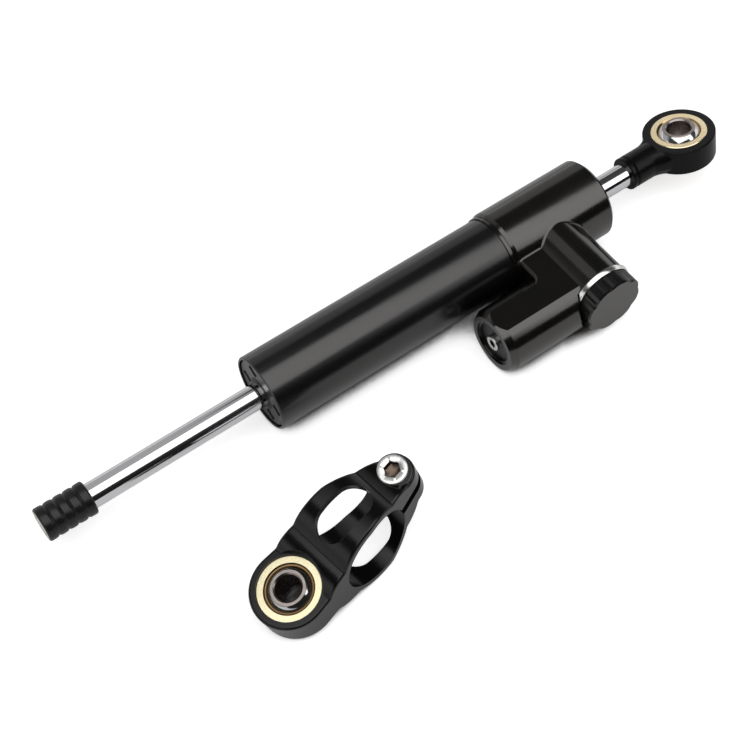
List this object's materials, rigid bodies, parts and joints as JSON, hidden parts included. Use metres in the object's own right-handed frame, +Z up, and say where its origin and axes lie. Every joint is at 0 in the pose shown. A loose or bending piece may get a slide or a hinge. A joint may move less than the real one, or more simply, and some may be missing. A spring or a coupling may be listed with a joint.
{
  "type": "motorcycle steering damper",
  "caption": "Linear through-rod hydraulic steering damper with a side fluid barrel, adjuster knob, rod eye with spherical bearing, and a loose clamp bracket.",
  "frame": {"origin": "centre of the ball in the rod eye", "axes": "+X along the rod, out of the damper past the rod eye; -Y towards the adjuster knob; +Z up from the table that the part lies on"},
  "size_m": [0.2541, 0.0842, 0.0305],
  "materials": {
    "tube_black": "gloss black hard anodised tube",
    "head_black": "gloss black anodised machined head",
    "bracket_black": "satin black anodised",
    "eye_black": "black oxide finish on steel",
    "rod_chrome": "hard chromed and polished",
    "ball_chrome": "chromed bearing ball",
    "race_brass": "machined brass race",
    "stop_black": "matt black anodised, grooved",
    "guide_dark": "dark anodised, machined",
    "plug_grey": "dark grey anodised",
    "clip_black": "phosphated spring steel",
    "screw_steel": "bright zinc plated steel",
    "collar_silver": "bright turned and polished",
    "knob_grey": "dark grey anodised",
    "valve_brass": "turned brass",
    "bush_bronze": "bronze lined bush",
    "piston_steel": "plain machined",
    "band_plastic": "slippery fluoropolymer band",
    "seal_rubber": "nitrile rubber"
  },
  "bodies": {
    "damper_body": {"cylinder_tube": "tube_black", "head_housing": "head_black", "tube_oring": "seal_rubber", "front_guide": "guide_dark", "front_rod_wiper": "seal_rubber", "front_rod_bush": "bush_bronze", "front_rod_seal": "seal_rubber", "front_guide_oring": "seal_rubber", "rear_guide": "guide_dark", "rear_rod_wiper": "seal_rubber", "rear_rod_bush": "bush_bronze", "rear_rod_seal": "seal_rubber", "rear_guide_oring": "seal_rubber", "reservoir_plug": "plug_grey", "reservoir_plug_oring": "seal_rubber", "reservoir_circlip": "clip_black", "fill_screw": "screw_steel", "fill_screw_washer": "seal_rubber", "valve_seat": "valve_brass", "valve_cartridge": "valve_brass", "valve_cartridge_oring": "seal_rubber", "spindle_oring": "seal_rubber", "knob_collar": "collar_silver"},
    "piston_band": {"piston_ring": "band_plastic"},
    "rod": {"piston_rod": "rod_chrome", "piston": "piston_steel", "piston_clips": "clip_black", "rod_eye": "eye_black", "rod_eye_race": "race_brass", "end_stop": "stop_black"},
    "rod_ball": {"rod_eye_ball": "ball_chrome"},
    "knob": {"adjuster_knob": "knob_grey", "adjuster_spindle": "screw_steel", "click_ball": "screw_steel", "click_spring": "screw_steel", "knob_grub_screw": "clip_black"},
    "needle": {"needle_valve": "screw_steel"},
    "float": {"floating_piston": "piston_steel", "floating_piston_oring": "seal_rubber"},
    "bracket": {"clamp_bracket": "bracket_black", "clamp_bolt": "screw_steel", "clamp_race": "race_brass"},
    "bracket_ball": {"clamp_ball": "ball_chrome"}
  },
  "joints": [
    {"name": "rod_slide", "type": "slide", "parent": "damper_body", "child": "piston_band", "axis": [1, 0, 0], "range_m": [-0.0154, 0.0589]},
    {"name": "rod_spin", "type": "hinge", "parent": "piston_band", "child": "rod", "pos_m": [0, 0, 0], "axis": [1, 0, 0], "continuous": true},
    {"name": "rod_ball_swivel", "type": "hinge", "parent": "rod", "child": "rod_ball", "pos_m": [0, 0, 0], "axis": [1, 0, 0], "range_deg": [-12, 12]},
    {"name": "knob_turn", "type": "hinge", "parent": "damper_body", "child": "knob", "pos_m": [-0.061, 0, 0], "axis": [0, -1, 0], "range_deg": [-450, 450]},
    {"name": "needle_slide", "type": "slide", "parent": "damper_body", "child": "needle", "axis": [0, -1, 0], "range_m": [-0.00101, 0.00101]},
    {"name": "float_slide", "type": "slide", "parent": "damper_body", "child": "float", "axis": [1, 0, 0], "range_m": [-0.004, 0.004]},
    {"name": "clamp_lift", "type": "slide", "parent": "damper_body", "child": "bracket", "axis": [0, 0, 1], "range_m": [0, 0.05]},
    {"name": "clamp_ball_swivel", "type": "hinge", "parent": "bracket", "child": "bracket_ball", "pos_m": [-0.1946, -0.0587, -0.00519], "axis": [0.9546, 0.141, 0.2626], "range_deg": [-12, 12]}
  ],
  "couplings": [
    {"joint": "needle_slide", "follows": "knob_turn", "m_per_rad": 0.00012732}
  ]
}
